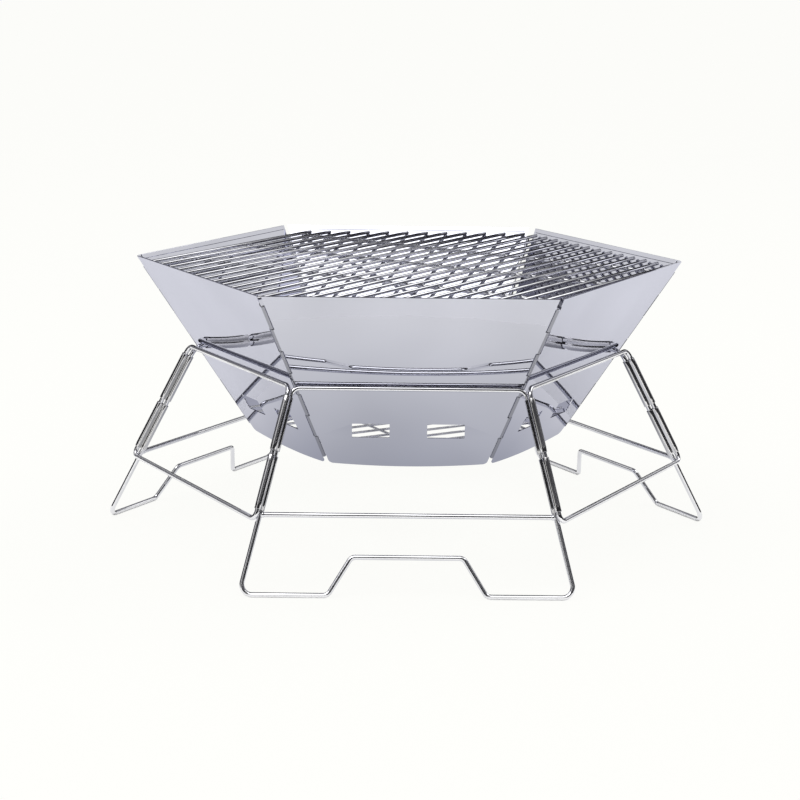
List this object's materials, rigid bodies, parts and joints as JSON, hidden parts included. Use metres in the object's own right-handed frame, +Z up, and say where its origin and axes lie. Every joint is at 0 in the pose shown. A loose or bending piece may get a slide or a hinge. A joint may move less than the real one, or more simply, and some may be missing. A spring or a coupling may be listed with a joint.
{
  "type": "folding charcoal grill",
  "caption": "Folding hexagonal charcoal grill: hinged sheet-steel fire bowl in a hinged wire stand, with a charcoal grate and a rod cooking grid.",
  "frame": {"origin": "on the ground, on the vertical centre line of the six-sided bowl and stand", "axes": "+Z up, front panel faces -Y, +X to the right seen from the front; corners at 0, 60, 120, 180, 240 and 300 degrees from +X"},
  "size_m": [0.5144, 0.4481, 0.2303],
  "materials": {
    "polished_sheet": "mirror-polished stainless sheet",
    "bright_wire": "bright plated round wire",
    "clip_steel": "dull bent strip steel",
    "pin_steel": "plain drawn wire",
    "grate_wire": "bright plated round wire",
    "grid_rod": "bright plated round rod"
  },
  "bodies": {
    "stand_front": {"stand_front_frame": "bright_wire", "stand_front_mid_bar": "bright_wire", "clip_front_left_upper": "clip_steel", "clip_front_left_lower": "clip_steel"},
    "stand_front_right": {"stand_front_right_frame": "bright_wire", "clip_front_right_upper": "clip_steel", "clip_front_right_lower": "clip_steel"},
    "stand_back_right": {"stand_back_right_frame": "bright_wire", "stand_back_right_mid_bar": "bright_wire", "clip_right_upper": "clip_steel", "clip_right_lower": "clip_steel"},
    "stand_front_left": {"stand_front_left_frame": "bright_wire"},
    "stand_back_left": {"stand_back_left_frame": "bright_wire", "stand_back_left_mid_bar": "bright_wire", "clip_left_upper": "clip_steel", "clip_left_lower": "clip_steel"},
    "stand_back": {"stand_back_frame": "bright_wire", "clip_rear_left_upper": "clip_steel", "clip_rear_left_lower": "clip_steel", "clip_rear_right_upper": "clip_steel", "clip_rear_right_lower": "clip_steel"},
    "bowl_front": {"bowl_front_panel": "polished_sheet", "hinge_pin_front_left": "pin_steel", "hinge_pin_front_right": "pin_steel"},
    "bowl_front_right": {"bowl_front_right_panel": "polished_sheet", "hinge_pin_right": "pin_steel"},
    "bowl_back_right": {"bowl_back_right_panel": "polished_sheet"},
    "bowl_front_left": {"bowl_front_left_panel": "polished_sheet", "hinge_pin_left": "pin_steel"},
    "bowl_back_left": {"bowl_back_left_panel": "polished_sheet", "hinge_pin_rear_left": "pin_steel"},
    "bowl_back": {"bowl_back_panel": "polished_sheet", "hinge_pin_rear_right": "pin_steel"},
    "charcoal_grate": {"charcoal_grate": "grate_wire"},
    "cooking_grid": {"cooking_grid": "grid_rod"}
  },
  "joints": [
    {"name": "bowl_lift", "type": "slide", "parent": "stand_front", "child": "bowl_front", "axis": [0, 0, 1], "range_m": [0, 0.45]},
    {"name": "stand_front_right_fold", "type": "hinge", "parent": "stand_front", "child": "stand_front_right", "pos_m": [0.10405, -0.18022, 0.1], "axis": [-0.228, 0.3949, 0.89], "range_deg": [0, 116.65]},
    {"name": "stand_back_right_fold", "type": "hinge", "parent": "stand_front_right", "child": "stand_back_right", "pos_m": [0.21348, 0, 0.1], "axis": [-0.456, 0, 0.89], "range_deg": [-48.23, 0]},
    {"name": "stand_front_left_fold", "type": "hinge", "parent": "stand_front", "child": "stand_front_left", "pos_m": [-0.10674, -0.18488, 0.1], "axis": [0.228, 0.3949, 0.89], "range_deg": [0, 50.48]},
    {"name": "stand_back_left_fold", "type": "hinge", "parent": "stand_front_left", "child": "stand_back_left", "pos_m": [-0.21348, 0, 0.1], "axis": [0.456, 0, 0.89], "range_deg": [0, 59.26]},
    {"name": "stand_back_fold", "type": "hinge", "parent": "stand_back_left", "child": "stand_back", "pos_m": [-0.10405, 0.18022, 0.1], "axis": [0.228, -0.3949, 0.89], "range_deg": [-120.13, 0]},
    {"name": "bowl_front_right_fold", "type": "hinge", "parent": "bowl_front", "child": "bowl_front_right", "pos_m": [0.08842, -0.15314, 0.15], "axis": [0.2757, -0.4775, 0.8343], "range_deg": [0, 124.13]},
    {"name": "bowl_back_right_fold", "type": "hinge", "parent": "bowl_front_right", "child": "bowl_back_right", "pos_m": [0.17683, 0, 0.15], "axis": [0.5514, 0, 0.8343], "range_deg": [-47.54, 0]},
    {"name": "bowl_front_left_fold", "type": "hinge", "parent": "bowl_front", "child": "bowl_front_left", "pos_m": [-0.08842, -0.15314, 0.15], "axis": [-0.2757, -0.4775, 0.8343], "range_deg": [0, 50.92]},
    {"name": "bowl_back_left_fold", "type": "hinge", "parent": "bowl_front_left", "child": "bowl_back_left", "pos_m": [-0.17683, 0, 0.15], "axis": [-0.5514, 0, 0.8343], "range_deg": [0, 53.11]},
    {"name": "bowl_back_fold", "type": "hinge", "parent": "bowl_back_left", "child": "bowl_back", "pos_m": [-0.08842, 0.15314, 0.15], "axis": [-0.2757, 0.4775, 0.8343], "range_deg": [-125.47, 0]},
    {"name": "grate_lift", "type": "slide", "parent": "bowl_front", "child": "charcoal_grate", "axis": [0, 0, 1], "range_m": [0, 0.945]},
    {"name": "grid_lift", "type": "slide", "parent": "charcoal_grate", "child": "cooking_grid", "axis": [0, 0, 1], "range_m": [0, 0.12]}
  ],
  "couplings": [
    {"joint": "stand_front_right_fold", "follows": "bowl_lift", "rad_per_m": 4.5243},
    {"joint": "stand_back_right_fold", "follows": "bowl_lift", "rad_per_m": -1.8704},
    {"joint": "stand_front_left_fold", "follows": "bowl_lift", "rad_per_m": 1.9579},
    {"joint": "stand_back_left_fold", "follows": "bowl_lift", "rad_per_m": 2.2984},
    {"joint": "stand_back_fold", "follows": "bowl_lift", "rad_per_m": -4.6592},
    {"joint": "bowl_front_right_fold", "follows": "bowl_lift", "rad_per_m": 4.8144},
    {"joint": "bowl_back_right_fold", "follows": "bowl_lift", "rad_per_m": -1.8438},
    {"joint": "bowl_front_left_fold", "follows": "bowl_lift", "rad_per_m": 1.9749},
    {"joint": "bowl_back_left_fold", "follows": "bowl_lift", "rad_per_m": 2.0599},
    {"joint": "bowl_back_fold", "follows": "bowl_lift", "rad_per_m": -4.8664},
    {"joint": "grate_lift", "follows": "bowl_lift", "ratio": 2.1}
  ]
}
